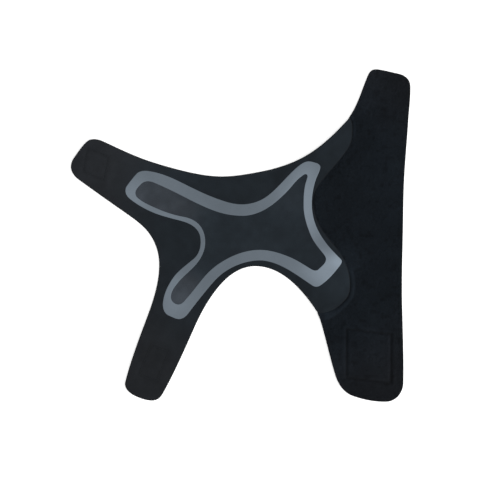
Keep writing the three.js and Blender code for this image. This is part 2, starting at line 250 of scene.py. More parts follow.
# The bead that the lap presses up on the band: its height and width, how much wider it is under the lower
# lobe and narrower beside the upper one, and its share of the height there.
BEAD_HEIGHT = 0.52
BEAD_WIDTH = 4.6
BEAD_WIDER = 2.2
BEAD_NARROWER = 1.2
UPPER_BEAD = 0.55

# The bonded cut of the lower lobe: how much thinner the panel is there, and how far in from the cut.
BONDED_THINNER = 0.9
BONDED_REACH = 4.0


# Paths and distances.


def eased(t):
    """0 below 0, 1 above 1, and a smooth rise between them."""
    t = np.clip(t, 0, 1)
    return t * t * (3 - 2 * t)


def ramp(value, start, end):
    """0 up to the start and 1 from the end on, eased between them; the start may be the larger."""
    return eased((value - start) / (end - start))


def bell(t):
    """1 at 0, falling off as the exponential of minus the square."""
    return np.exp(-(t**2))


def ring_of(points):
    """A closed run of points with its first one again at the end, and the distance along it to each."""
    ring = np.vstack([points, points[:1]])
    return ring, np.concatenate([[0], np.cumsum(np.linalg.norm(np.diff(ring, axis=0), axis=1))])


def walked(points, step):
    """A closed run of points taken again at equal distances close to step."""
    ring, along = ring_of(points)
    at = np.linspace(0, along[-1], max(8, round(along[-1] / step)), endpoint=False)
    return np.stack([np.interp(at, along, ring[:, k]) for k in (0, 1)], 1)


def edge_path(rows, step):
    """A closed edge as points: each row is joined to the next by a cubic curve whose handles are a third of
    the chord over the squared cosine of a quarter of the turn, and the whole is walked in equal steps."""
    x, y, heading = (np.array(column, float) for column in list(zip(*rows))[1:])
    here = np.stack([x, y], 1)
    there = np.roll(here, -1, 0)
    angle = np.radians(heading)
    turn = (np.roll(angle, -1) - angle + np.pi) % (2 * np.pi) - np.pi
    handle = np.linalg.norm(there - here, axis=1) / (3 * np.cos(turn / 4) ** 2)
    way = np.stack([np.cos(angle), np.sin(angle)], 1)
    leave = here + way * handle[:, None]
    arrive = there - np.roll(way, -1, 0) * handle[:, None]
    t = np.linspace(0, 1, PLACES_PER_CURVE, endpoint=False)[None, :, None]
    curve = (
        (1 - t) ** 3 * here[:, None]
        + 3 * (1 - t) ** 2 * t * leave[:, None]
        + 3 * (1 - t) * t**2 * arrive[:, None]
        + t**3 * there[:, None]
    )
    return walked(curve.reshape(-1, 2), step)


def tape_corners(tape, margin=0.0):
    """The four corners of a leaning square, counter-clockwise, grown by a margin."""
    along = np.radians(tape["heading"])
    across = along + np.pi / 2 + np.radians(tape["lean"])
    half = np.array([np.cos(along), np.sin(along)]) * (tape["length"] / 2 + margin)
    side = np.array([np.cos(across), np.sin(across)]) * (tape["width"] / 2 + margin)
    middle = np.array([tape["x"], tape["y"]])
    near, far = middle - half, middle + half
    return np.array([near - side, far - side, far + side, near + side])


def rounded_path(corners, radius, step):
    """A closed run through corners, each cut back by radius and bridged by a quadratic curve."""
    back = np.roll(corners, 1, 0) - corners
    on = np.roll(corners, -1, 0) - corners
    start = corners + back / np.linalg.norm(back, axis=1)[:, None] * radius
    end = corners + on / np.linalg.norm(on, axis=1)[:, None] * radius
    t = np.linspace(0, 1, PLACES_PER_CORNER)[None, :, None]
    curve = (1 - t) ** 2 * start[:, None] + 2 * t * (1 - t) * corners[:, None] + t**2 * end[:, None]
    return walked(curve.reshape(-1, 2), step)


def edge_distance(x, y, path):
    """Distance from each place to a closed edge, negative inside: the least distance to its sides, with the
    sign from the number of sides that a line to the right crosses."""
    nearest = np.full(x.shape, np.inf)
    inside = np.zeros(x.shape, bool)
    for (ax, ay), (bx, by) in zip(path, np.roll(path, -1, 0)):
        run_x, run_y = bx - ax, by - ay
        t = np.clip(((x - ax) * run_x + (y - ay) * run_y) / (run_x**2 + run_y**2), 0, 1)
        nearest = np.minimum(nearest, (x - ax - t * run_x) ** 2 + (y - ay - t * run_y) ** 2)
        if run_y:
            inside ^= ((ay > y) != (by > y)) & (x < ax + (y - ay) / run_y * run_x)
    return np.where(inside, -1, 1) * np.sqrt(nearest)


def inward(path):
    """Unit vectors to the left of the way along a closed path."""
    way = np.roll(path, -1, 0) - np.roll(path, 1, 0)
    left = np.stack([-way[:, 1], way[:, 0]], 1)
    return left / np.linalg.norm(left, axis=1)[:, None]


LATTICE_SIZE = 256
LATTICE = np.random.default_rng(41).random((LATTICE_SIZE, LATTICE_SIZE))
SHIFT_X = 37.3
SHIFT_Y = 11.9


def mottle(x, y, size, shift):
    """Smooth random values from 0 to 1: fixed random numbers on a lattice of this size, eased between, with
    the lattice moved on by the shift so that no two mottles are alike."""
    u, v = x / size + SHIFT_X * shift, y / size + SHIFT_Y * shift
    i, j = np.floor(u).astype(int), np.floor(v).astype(int)
    s, t = eased(u - i), eased(v - j)
    i0, i1 = i % LATTICE_SIZE, (i + 1) % LATTICE_SIZE
    j0, j1 = j % LATTICE_SIZE, (j + 1) % LATTICE_SIZE
    low = LATTICE[i0, j0] * (1 - s) + LATTICE[i1, j0] * s
    high = LATTICE[i0, j1] * (1 - s) + LATTICE[i1, j1] * s
    return low * (1 - t) + high * t


def unevenness(x, y, rows):
    """Sum of mottles about zero, each times its height."""
    return sum(height * (mottle(x, y, size, shift) - 0.5) for height, size, shift in rows)


def specks(x, y, size, shift, none, full):
    """1 in the few places where a mottle is highest, 0 elsewhere, eased between the two values."""
    return ramp(mottle(x, y, size, shift), none, full)


# Heights of the layers.

panel_edge = edge_path(PANEL_EDGE, PANEL_STEP)
band_edge = edge_path(BAND_EDGE, BAND_EDGE_STEP)
coarse_panel_edge = edge_path(PANEL_EDGE, COARSE_EDGE_STEP)
coarse_band_edge = edge_path(BAND_EDGE, COARSE_EDGE_STEP)


def swell(x, y):
    """Sum of the round swells: height times (1 - r squared) squared, with r the share of the radius."""
    height = np.zeros_like(x)
    for _, at_x, at_y, radius, rise in SWELLS:
        r = np.minimum(1, np.hypot(x - at_x, y - at_y) / radius)
        height += rise * (1 - r * r) ** 2
    return height


def cover(distance):
    """1 over what lies beneath and on the shelf round it, easing to 0 across the fall."""
    return ramp(distance, SHELF + FALL, SHELF)


def over_tape(x, y, tape):
    """The cover over a tape, which reaches a margin beyond its stitches."""
    return cover(edge_distance(x, y, tape_corners(tape, STITCH_MARGIN)))


def furrow(x, y, tape):
    """The groove that a stitched line presses: a bell-shaped dent, with a smaller bell that rises on each
    side, where the cloth puffs up."""
    away = np.abs(edge_distance(x, y, tape_corners(tape))) / tape["furrow_width"]
    return tape["furrow_depth"] * (PUFF * bell(away - PUFF_AWAY) - bell(away))


def bead(x, y, beside):
    """The margin that the lap presses up on the band round the panel's two lobes, from 0 to 1: a parabola
    across a width that differs from place to place."""
    round_lower = ramp(y, -27, -37)
    round_upper = UPPER_BEAD * ramp(y, 79, 89)
    width = BEAD_WIDTH + BEAD_WIDER * ramp(x, 90, 74) * round_lower - BEAD_NARROWER * ramp(y, 0, 50)
    across = np.clip(beside / width, 0, 1)
    return (round_lower + round_upper) * 4 * across * (1 - across)


def bonded(x, y):
    """1 along the bottom of the lower lobe, where the cut is bonded down to the band, and 0 elsewhere."""
    return ramp(x, 88, 78) * ramp(y, -50, -58) * ramp(x, 60, 68)


def band_under(x, y):
    """The band's underside: on the floor, with its swells, and on its tape."""
    return swell(x, y) + TAPE_LIFT * over_tape(x, y, BAND_HOOK)


def band_top(x, y):
    """The loop band's face: its underside raised by its thickness, with the bead beside the panel, dented
    along its stitches, and uneven as a brushed pile is."""
    beside = edge_distance(x, y, coarse_panel_edge)
    raised = bead(x, y, beside)
    pile = unevenness(x, y, BAND_TUFTS) - PIT_DEPTH * specks(x, y, *PILE_PITS)
    open_pile = ramp(beside, 0, TUFTS_FROM_LAP) * (1 - np.minimum(1, 2 * raised))
    waves = unevenness(x, y, BAND_WAVES) * ramp(beside, 0, WAVES_FROM_LAP)
    level = band_under(x, y) + BAND_THICK + furrow(x, y, BAND_HOOK)
    return level + waves + BEAD_HEIGHT * raised + pile * open_pile


def panel_under(x, y):
    """The panel's underside: on the floor, with its swells, on its two strap tapes, and on the band."""
    on_straps = np.maximum(over_tape(x, y, UPPER_STRAP_HOOK), over_tape(x, y, LOWER_STRAP_HOOK))
    on_band = TAPE_LIFT * over_tape(x, y, BAND_HOOK) + BAND_THICK + LAP_GAP
    return swell(x, y) + TAPE_LIFT * on_straps + on_band * cover(edge_distance(x, y, coarse_band_edge))


def panel_top(x, y):
    """The panel's printed face: its underside raised by its thickness, thinner towards the bonded cut,
    dented along the stitches, and very slightly uneven."""
    near_cut = eased(1 + edge_distance(x, y, coarse_panel_edge) / BONDED_REACH)
    thick = PANEL_THICK - BONDED_THINNER * bonded(x, y) * near_cut
    dents = furrow(x, y, UPPER_STRAP_HOOK) + furrow(x, y, LOWER_STRAP_HOOK)
    return panel_under(x, y) + thick + unevenness(x, y, PANEL_WAVES) + dents


# Meshes.

# Rounded cut edge of a sheet: inset from the edge, share of the sheet's height, and how bare the cut is.
CUT_EDGE = [
    (0.8, 1.0, 0.0), (0.45, 0.975, 0.25), (0.18, 0.9, 0.9), (0.04, 0.74, 1.0),
    (0.0, 0.5, 1.0), (0.04, 0.24, 1.0), (0.2, 0.06, 0.9), (0.5, 0.0, 0.0),
]
FILM_EDGE = [(0.42, 1.0, 0.0), (0.2, 0.95, 0.0), (0.06, 0.72, 0.0), (0.0, 0.3, 0.0), (0.0, 0.0, 0.0)]

# An edge point above the first share of the height belongs to the upper face. The places within a face keep
# the second share of their spacing clear of its edge.
UPPER_SHARE = 0.9
CLEAR_SHARE = 0.55

# Rows of a grid of equal triangles are this share of their spacing apart.
ROW_SHARE = 0.866

# A direction that no strand runs along.
ALMOST_UP = np.array([0.03, 0.02, 1.0])


def add_piece(name, points, triangles, finish):
    """An object at the origin from points in millimetres and triangles, smooth shaded."""
    mesh = bpy.data.meshes.new(name)
    mesh.vertices.add(len(points))
    mesh.vertices.foreach_set("co", (np.asarray(points) * MM).astype(np.float32).ravel())
    mesh.loops.add(3 * len(triangles))
    mesh.loops.foreach_set("vertex_index", np.asarray(triangles, np.int32).ravel())
    mesh.polygons.add(len(triangles))
    mesh.polygons.foreach_set("loop_start", np.arange(0, 3 * len(triangles), 3, dtype=np.int32))
    mesh.polygons.foreach_set("use_smooth", np.ones(len(triangles), bool))
    mesh.update(calc_edges=True)
    mesh.validate()
    mesh.materials.append(finish)
    piece = bpy.data.objects.new(name, mesh)
    bpy.context.scene.collection.objects.link(piece)
    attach(piece, "root")
    return piece


def keep_on_points(piece, name, values):
    """Keeps one value for each of a piece's points, for its finish to read."""
    layer = piece.data.attributes.get(name) or piece.data.attributes.new(name, "FLOAT", "POINT")
    layer.data.foreach_set("value", np.asarray(values, np.float32))


def kept_on_points(piece, name):
    """The values kept for a piece's points."""
    values = np.empty(len(piece.data.vertices), np.float32)
    piece.data.attributes[name].data.foreach_get("value", values)
    return values.astype(float)


def places_of(piece):
    """The x and y of a piece's points, in millimetres."""
    co = np.empty(3 * len(piece.data.vertices), np.float32)
    piece.data.vertices.foreach_get("co", co)
    return co[0::3].astype(float) / MM, co[1::3].astype(float) / MM


def map_from_above(piece):
    """A map of a piece of many strands as it is seen from above, with its box from 0 to 1 each way."""
    x, y = places_of(piece)
    corner = np.empty(len(piece.data.loops), np.int32)
    piece.data.loops.foreach_get("vertex_index", corner)
    seen = np.stack([(x - x.min()) / np.ptp(x), (y - y.min()) / np.ptp(y)], 1)[corner]
    piece.data.uv_layers.new(name="OFBake").data.foreach_set("uv", seen.astype(np.float32).ravel())


def staggered(path, step):
    """A staggered grid of places with equal triangles over a path's box."""
    low, high = path.min(0), path.max(0)
    x, y = np.meshgrid(np.arange(low[0], high[0], step), np.arange(low[1], high[1], step * ROW_SHARE))
    x[1::2] += step / 2
    return np.stack([x.ravel(), y.ravel()], 1)


def stitch_grid(tape, spacing, reach):
    """Places on lines beside a stitched line, close enough together to take its furrow, with the distance
    within which they stand in for other places, and the line."""
    offsets = np.arange(-reach, reach + 1e-6, spacing)
    places = np.concatenate([walked(tape_corners(tape, offset), spacing) for offset in offsets])
    return places, reach + 0.6 * spacing, tape_corners(tape)


def filled(rings, inside):
    """Triangles that fill closed rings, the first the outer one, through the loose places inside them."""
    places = np.vstack([*rings, inside])
    first = np.cumsum([0] + [len(ring) for ring in rings])
    loops = [list(range(a, b)) for a, b in zip(first, first[1:])]
    made = delaunay_2d_cdt(places.tolist(), [], loops, 2, 1e-7)
    if len(made[0]) != len(places):
        raise ValueError("an edge crosses itself")
    return np.array(made[2])


def cloth_sheet(name, paths, under, top, profile, step, underside_step, finish, stitch_lines=()):
    """A closed sheet. A rounded profile (rows of inset, share of the height, and how bare the cut is) is
    carried along each edge, and the upper and lower faces are staggered grids joined to the profile's first
    and last rings. Each point keeps how bare the cut is there, and whether it is on the upper face."""
    rings = [[path + inward(path) * inset for path in paths] for inset, _, _ in profile]
    points, triangles, bare, face = [], [], [], []
    starts = []
    count = 0
    for ring, (_, share, cut) in zip(rings, profile):
        starts.append([])
        for path in ring:
            x, y = path.T
            low, high = under(x, y), top(x, y)
            points.append(np.stack([x, y, low + share * (high - low)], 1))
            bare.append(np.full(len(path), cut))
            face.append(np.full(len(path), float(share > UPPER_SHARE)))
            starts[-1].append(count)
            count += len(path)
    for upper, lower in zip(starts, starts[1:]):
        for a, b, path in zip(upper, lower, paths):
            i = np.arange(len(path))
            j = np.roll(i, -1)
            triangles.append(np.stack([a + i, b + i, b + j], 1))
            triangles.append(np.stack([a + i, b + j, a + j], 1))
    for at, height, spacing, turned in ((0, top, step, False), (-1, under, underside_step, True)):
        grid = staggered(paths[0], spacing)
        for places, reach, line in () if turned else stitch_lines:
            grid = np.vstack([grid[np.abs(edge_distance(*grid.T, line)) > reach], places])
        clear = CLEAR_SHARE * spacing
        keep = edge_distance(*grid.T, rings[at][0]) < -clear
        for hole in rings[at][1:]:
            keep &= edge_distance(*grid.T, hole) > clear
        grid = grid[keep]
        index = [np.arange(start, start + len(path)) for start, path in zip(starts[at], rings[at])]
        index = np.concatenate([*index, np.arange(count, count + len(grid))])
        faces = index[filled(rings[at], grid)]
        triangles.append(faces[:, ::-1] if turned else faces)
        points.append(np.stack([*grid.T, height(*grid.T)], 1))
        bare.append(np.zeros(len(grid)))
        face.append(np.full(len(grid), float(not turned)))
        count += len(grid)
    piece = add_piece(name, np.vstack(points), np.vstack(triangles), finish)
    keep_on_points(piece, "bare_cut", np.concatenate(bare))
    keep_on_points(piece, "upper_face", np.concatenate(face))
    return piece


def tubes(paths, radius, sides):
    """Many closed tubes at once: paths is (tubes, places, 3). At each place a ring of sides stands across
    the way along the path, and each end is closed with a fan."""
    number, places, _ = paths.shape
    way = np.gradient(paths, axis=1)
    way /= np.linalg.norm(way, axis=2, keepdims=True)
    across = np.cross(way, ALMOST_UP)
    across /= np.linalg.norm(across, axis=2, keepdims=True)
    up = np.cross(across, way)
    phi = np.arange(sides)[:, None] * 2 * np.pi / sides
    radius = np.broadcast_to(radius, (number, places))[:, :, None, None]
    ring = across[:, :, None] * np.cos(phi) + up[:, :, None] * np.sin(phi)
    points = (paths[:, :, None] + radius * ring).reshape(-1, 3)
    k = np.arange(sides)
    n = np.roll(k, -1)
    step = np.arange(places - 1)[:, None] * sides
    side = np.concatenate(
        [
            np.stack([step + k, step + sides + n, step + n], 2).reshape(-1, 3),
            np.stack([step + k, step + sides + k, step + sides + n], 2).reshape(-1, 3),
        ]
    )
    fan = np.stack([np.zeros(sides - 2, int), np.arange(1, sides - 1), np.arange(2, sides)], 1)
    end = fan[:, ::-1] + (places - 1) * sides
    one = np.concatenate([side, fan, end])
    triangles = (one[None] + (np.arange(number) * places * sides)[:, None, None]).reshape(-1, 3)
    return points, triangles


# Tones kept on the points.

# Where each face is lighter than its base level: middle, reach along x and y, and screen levels more.
CLOTH_LEVEL = 36.0
CLOTH_TONES = [
    ("upper strap", -95, 58, 58, 34, 6.0),
    ("along the top bay", 5, 48, 60, 16, 1.5),
    ("upper lobe", 88, 84, 26, 28, 3.5),
    ("lower lobe", 89, -35, 24, 22, 7.5),
]
FIELD_TONES = [
    ("print all over", -40, 10, 170, 170, 5.5),
    ("upper left arm", -70, 33, 42, 42, 20.5),
    ("end of the upper left arm", -87, 36, 9, 12, 7.5),
    ("upper side of the upper left arm", -52, 37, 16, 9, -4.5),
    ("lower left arm", -56, -60, 31, 31, 29.5),
    ("beside the upper right arm", 40, 33, 26, 19, 7.5),
]
FILM_LEVEL = 105.0
# The rows for the right side, the lower right corner and the tip of the lower right arm are painted light,
# and the bend in the right side is painted shade: they follow the stripe's tilt where the panel climbs over
# the band.
FILM_TONES = [
    ("right side", 56, 28, 22, 34, 24.0),
    ("beside the top hollow", 28, 33, 16, 14, 5.0),
    ("bend in the right side", 70, -8, 9, 9, -5.0),
    ("lower right corner", 78, -31, 26, 20, 31.0),
    ("end of the upper left arm", -93, 33, 17, 16, 15.0),
    ("lower edge of the upper left arm", -52, 16, 28, 10, 9.0),
    ("left edge of the lower left arm", -59, -46, 12, 18, 13.0),
    ("end of the lower left arm", -55, -64, 18, 14, 5.0),
    ("top hollow", 0, 24, 30, 14, -2.0),
    ("tip of the lower right arm", 85, -21, 8, 7, 14.0),
]
PILE_LEVEL = 26.0
PILE_TONES = [
    ("top tab", 106, 128, 28, 25, 4.5),
    ("right edge, upper part", 132, 55, 24, 50, 2.5),
    ("bottom tab", 122, -105, 36, 50, 1.5),
    ("beside the lower lobe", 94, -20, 13, 14, 5.0),
    ("beside the right bay", 68, 25, 9, 26, 1.0),
    ("left corner of the bottom tab", 84, -114, 11, 24, 3.0),
    # Painted light on the half of the square that faces the sun.
    ("right half of the stitched square", 119, -102, 9, 22, 2.5),
]

# The print gets warmer where it fades, from the first to the second of these tones, by this much.
FADE_FROM = 1.4
FADE_TO = 3.0
FADE_WARMTH = 0.75

# How much paler the pile is painted: on the bead, as painted sheen of the pressed pile, and beside the
# bonded cut across this width, as painted light over the shade at the cut's foot.
BEAD_PAINTED_SHEEN = 0.16
BONDED_PAINTED_LIGHT = 0.35
BONDED_LIGHT_WIDTH = 1.8


def tone(x, y, base, rows):
    """How much lighter than its base a piece is: rows of middle, reach along x and y, and screen levels
    more, each fading as the exponential of minus the cube of the share of its reach."""
    level = np.full_like(x, float(base))
    for _, at_x, at_y, reach_x, reach_y, more in rows:
        level += more * np.exp(-(np.hypot((x - at_x) / reach_x, (y - at_y) / reach_y) ** 3))
    return (level / base) ** 2.2


def warmth(x, y):
    """0 in the middle of the brace, easing to 1 towards the ends of its straps and tabs."""
    return ramp(np.hypot(x - 40, y - 10), 95, 165)


def painted_furrow_shade(x, y, tape):
    """Painted shade of a stitched furrow: how much darker the cloth is painted along the line, a bell
    across it.
    """
    return tape["darker"] * bell(edge_distance(x, y, tape_corners(tape)) / tape["dark_width"])


def pile_tone(x, y):
    """The band's tone: paler on the bead, as painted sheen of the flattened pile; paler beside the bonded
    cut, as painted light over the shade at its foot; paler where the pile is worn; and darker in flecks,
    and with painted shade along the stitched furrow."""
    beside = edge_distance(x, y, coarse_panel_edge)
    # Painted sheen on the bead, and painted light beside the bonded cut, where shade gathers at the cut's
    # foot.
    paler = 1 + BEAD_PAINTED_SHEEN * bead(x, y, beside)
    paler += BONDED_PAINTED_LIGHT * bonded(x, y) * bell(beside / BONDED_LIGHT_WIDTH)
    flecked = 1 + FLECK_BALANCE - FLECK_SHADE * specks(x, y, *PILE_FLECKS) + unevenness(x, y, PILE_WEAR)
    # The last factor is painted shade along the band's stitched furrow.
    return tone(x, y, PILE_LEVEL, PILE_TONES) * paler * flecked * (1 - painted_furrow_shade(x, y, BAND_HOOK))


def tone_panel(panel):
    """Keeps the panel's tone (its cloth, or its print inside the stripe, darker with painted shade along
    the stitched furrows, and a little uneven), its warmth, which is more where the print fades, and how
    bare its cut is, which is not at all where the cut is bonded down."""
    x, y = places_of(panel)
    in_field = ramp(edge_distance(x, y, edge_path(STRIPE_INNER_EDGE, 2.0)), 2.2, 1.0)
    cloth = tone(x, y, CLOTH_LEVEL, CLOTH_TONES)
    field = tone(x, y, CLOTH_LEVEL, FIELD_TONES)
    # Painted shade along the stitched furrows of the two straps.
    dark = painted_furrow_shade(x, y, UPPER_STRAP_HOOK) + painted_furrow_shade(x, y, LOWER_STRAP_HOOK)
    face_tone = (1 + unevenness(x, y, PANEL_MOTTLE)) * (cloth * (1 - dark) + in_field * (field - cloth))
    faded = in_field * ramp(field, FADE_FROM, FADE_TO)
    keep_on_points(panel, "tone", 1 + kept_on_points(panel, "upper_face") * (face_tone - 1))
    keep_on_points(panel, "warmth", np.maximum(warmth(x, y), FADE_WARMTH * faded))
    keep_on_points(panel, "bare_cut", kept_on_points(panel, "bare_cut") * (1 - bonded(x, y)))


def tone_pile(piece):
    """Keeps the tone and warmth of the band or of its loops."""
    keep_on_points(piece, "tone", pile_tone(*places_of(piece)))
    keep_on_points(piece, "warmth", warmth(*places_of(piece)))


# Finishes.


class Wire:
    """A value in a finish. Arithmetic on it adds the Math node that works it out."""

    def __init__(self, finish, socket):
        self.finish = finish
        self.socket = socket

    def maths(self, operation, *terms):
        """A Math node of this operation on these terms."""
        return self.finish.node("ShaderNodeMath", 0, {"operation": operation}, dict(enumerate(terms)))

    def __add__(self, other):
        return self.maths("ADD", self, other)

    def __radd__(self, other):
        return self.maths("ADD", other, self)

    def __rsub__(self, other):
        return self.maths("SUBTRACT", other, self)

    def __mul__(self, other):
        return self.maths("MULTIPLY", self, other)

    def __rmul__(self, other):
        return self.maths("MULTIPLY", other, self)

    def sine(self):
        """The sine of the value."""
        return self.maths("SINE", self)

    def size(self):
        """The value without its sign."""
        return self.maths("ABSOLUTE", self)

    def rise(self, low, high):
        """0 below low, 1 above high, eased between."""
        settings = {"interpolation_type": "SMOOTHSTEP"}
        return self.finish.node("ShaderNodeMapRange", 0, settings, {0: self, 1: low, 2: high})


class Finish:
    """One material: a Principled shader and the nodes that feed it."""

    def __init__(self, name, **constants):
        self.material = bpy.data.materials.new(name)
        self.material.use_nodes = True
        self.tree = self.material.node_tree
        self.shader = self.tree.nodes["Principled BSDF"]
        for socket, value in constants.items():
            self.shader.inputs[socket.replace("_", " ")].default_value = value

    def node(self, kind, output, settings, sockets):
        """A new node with these settings, then these socket values or links, as one of its outputs."""
        node = self.tree.nodes.new(kind)
        for key, value in settings.items():
            setattr(node, key, value)
        for key, value in sockets.items():
            if isinstance(value, Wire):
                self.tree.links.new(value.socket, node.inputs[key])
            else:
                node.inputs[key].default_value = value
        return Wire(self, node.outputs[output])

    def feed(self, socket, wire):
        """Links a value to the shader."""
        self.tree.links.new(wire.socket, self.shader.inputs[socket])

    def place(self):
        """The place on the piece."""
        return self.node("ShaderNodeTexCoord", "Object", {}, {})

    def axis(self, which):
        """The place along one axis, in metres."""
        return self.node("ShaderNodeSeparateXYZ", which, {}, {0: self.place()})

    def kept(self, name):
        """A value kept on the mesh's own points."""
        return self.node("ShaderNodeAttribute", "Fac", {"attribute_name": name}, {})

    def noise(self, size, detail=2.0, roughness=0.5):
        """Smooth noise from 0 to 1 with features of this size in millimetres."""
        sockets = {"Vector": self.place(), "Scale": 1 / (size * MM)}
        sockets.update({"Detail": detail, "Roughness": roughness})
        return self.node("ShaderNodeTexNoise", 0, {}, sockets)

    def blend(self, factor, first, second):
        """A colour between two colours, each a constant or a wire."""
        settings = {"data_type": "RGBA"}
        return self.node("ShaderNodeMix", 2, settings, {0: factor, 6: first, 7: second})

    def scaled(self, tint, factor):
        """A colour with its light multiplied."""
        return self.node("ShaderNodeVectorMath", 0, {"operation": "SCALE"}, {0: tint, 3: factor})

    def warmed(self, tint):
        """A colour made a little bluer in the middle of the brace and greyer towards its ends."""
        shift = self.blend(self.kept("warmth"), (0.92, 1.0, 1.085, 1), (1.1, 0.97, 0.965, 1))
        return self.node("ShaderNodeVectorMath", 0, {"operation": "MULTIPLY"}, {0: tint, 1: shift})

    def bump(self, height, distance):
        """height, from 0 to 1, as relief of this many millimetres."""
        sockets = {"Height": height, "Distance": distance * MM}
        self.feed("Normal", self.node("ShaderNodeBump", 0, {}, sockets))


def colour(red, green, blue):
    """A colour as seen on a screen, from 0 to 255, as the light it stands for."""
    c = np.array([red, green, blue]) / 255
    light = np.where(c <= 0.04045, c / 12.92, ((c + 0.055) / 1.055) ** 2.4)
    return (*light.tolist(), 1.0)


BARE_FOAM = colour(9, 10, 11)

# Widths of a rib of the knit and of a loop along it.
WALE = 0.62
COURSE = 0.48


def panel_cloth():
    """Smooth dark knit laminated on foam: fine ribs of stitches, a faint mottle, the tone kept on the mesh
    (which holds painted shade along the stitched furrows), and black foam where the cut is bare."""
    sheen = dict(Sheen_Weight=0.03, Sheen_Roughness=0.5)
    cloth = Finish("panel_cloth", Roughness=0.9, Specular_IOR_Level=0.1, **sheen)
    grain = cloth.noise(0.7, 3.0, 0.6)
    cloud = cloth.noise(13, 2.0)
    knit = cloth.blend(cloud.rise(0.3, 0.7), colour(22, 26, 29.2), colour(23.6, 27.8, 31))
    knit = cloth.scaled(knit, cloth.kept("tone") * (0.86 + 0.2 * grain.rise(0.3, 0.75)))
    cloth.feed("Base Color", cloth.blend(cloth.kept("bare_cut"), cloth.warmed(knit), BARE_FOAM))
    rib = (cloth.axis("X") * (np.pi / (WALE * MM))).sine().size()
    loops = (cloth.axis("Y") * (2 * np.pi / (COURSE * MM)) + rib * 2.4).sine()
    cloth.bump((rib * 0.6 + loops * 0.2) * (1 - cloth.kept("bare_cut")) + grain * 0.4, 0.07)
    return cloth.material


def loop_pile(name, relief):
    """Black brushed loop fabric: tufts and fibres of differing tone under slow clouds, and a relief of this
    many millimetres where the yarn isn't modelled."""
    sheen = dict(Sheen_Weight=0.02, Sheen_Roughness=0.6)
    pile = Finish(name, Roughness=1.0, Specular_IOR_Level=0.06, **sheen)
    tuft = pile.noise(1.5, 3.0, 0.65)
    fibre = pile.noise(0.35, 3.0, 0.7)
    cloud = pile.noise(20, 2.0)
    yarn = pile.blend(cloud.rise(0.3, 0.72), colour(16.5, 20.5, 24.3), colour(18.7, 22.8, 26.8))
    uneven = 0.8 + 0.36 * (tuft * 0.65 + fibre * 0.35).rise(0.3, 0.7)
    yarn = pile.scaled(yarn, pile.kept("tone") * uneven)
    pile.feed("Base Color", pile.blend(pile.kept("bare_cut"), pile.warmed(yarn), BARE_FOAM))
    if relief:
        pile.bump(fibre * 0.6 + tuft * 0.4, relief)
    return pile.material


def grey_film():
    """A thin grey print with a fine speckle, and the tone kept on the mesh, which holds painted light and
    shade where the stripe tilts on its right side.
    """
    film = Finish("grey_film", Roughness=0.65, Specular_IOR_Level=0.15)
    speckle = film.noise(0.8, 3.0, 0.7)
    cloud = film.noise(16, 2.0)
    worn = 0.93 + 0.1 * (speckle * 0.6 + cloud * 0.4).rise(0.32, 0.68)
    grey = film.blend(cloud, colour(84.5, 92.7, 100.5), colour(86.5, 94.7, 102.5))
    film.feed("Base Color", film.scaled(grey, film.kept("tone") * worn))
    film.bump(speckle, 0.05)
    return film.material


def stitch_thread(name, dark, light):
    """Twisted sewing thread with a slight lustre: fine noise between two colours."""
    thread = Finish(name, Roughness=0.7, Specular_IOR_Level=0.12)
    strand = thread.noise(0.25, 2.0)
    thread.feed("Base Color", thread.blend(strand, dark, light))
    thread.bump(strand, 0.05)
    return thread.material


def hook_nylon():
    """Black woven nylon tape with moulded hooks: noise as wide as its yarns between two colours."""
    nylon = Finish("hook_nylon", Roughness=0.5, Specular_IOR_Level=0.3)
    yarn = nylon.noise(0.5, 2.0)
    nylon.feed("Base Color", nylon.blend(yarn, colour(14, 15, 17), colour(28, 29, 32)))
    nylon.bump(yarn, 0.06)
    return nylon.material


panel_finish = panel_cloth()
band_finish = loop_pile("loop_pile", 0.2)
yarn_finish = loop_pile("loop_yarn", 0)
film_finish = grey_film()
black_thread = stitch_thread("black_thread", colour(8, 9, 10), colour(15, 16, 18))
grey_thread = stitch_thread("grey_thread", colour(24.5, 28.5, 31.5), colour(28, 32, 35))
hook_finish = hook_nylon()

# The panel.

panel = cloth_sheet(
    "panel", [panel_edge], panel_under, panel_top, CUT_EDGE,
    step=PANEL_STEP, underside_step=2.2, finish=panel_finish,
    stitch_lines=[
        stitch_grid(UPPER_STRAP_HOOK, spacing=0.5, reach=2.5),
        stitch_grid(LOWER_STRAP_HOOK, spacing=0.5, reach=2.5),
    ],
)
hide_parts("support_panel")
tone_panel(panel)

# The stripe, which sinks a little into the panel's face.

FILM_SINK = 0.02

stripe_paths = [edge_path(STRIPE_OUTER_EDGE, PANEL_STEP), edge_path(STRIPE_INNER_EDGE, PANEL_STEP)[::-1]]
stripe = cloth_sheet(
    "stripe", stripe_paths,
    lambda x, y: panel_top(x, y) - FILM_SINK,
    lambda x, y: panel_top(x, y) + FILM_THICK,
    FILM_EDGE, step=PANEL_STEP, underside_step=1.4, finish=film_finish,
)
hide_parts("contour_stripe")
keep_on_points(stripe, "tone", tone(*places_of(stripe), FILM_LEVEL, FILM_TONES))

# The loop band.

band = cloth_sheet(
    "band", [band_edge], band_under, band_top, CUT_EDGE,
    step=BAND_STEP, underside_step=2.4, finish=band_finish,
    stitch_lines=[stitch_grid(BAND_HOOK, spacing=0.45, reach=3.2)],
)
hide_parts("loop_band")
tone_pile(band)

# Loops of the pile: their pitch and reach along x, the ranges of their span, height and yarn radius, how
# far they turn from the band's length, in radians, and how far they sway.
PILE_PITCH = 0.8
PILE_LEFT = 50
PILE_RIGHT = 146
LOOP_SPAN = (0.7, 1.35)
LOOP_HEIGHT = (0.16, 0.42)
YARN_RADIUS = (0.075, 0.115)
LOOP_TURN = 0.75
LOOP_SWAY = 0.12

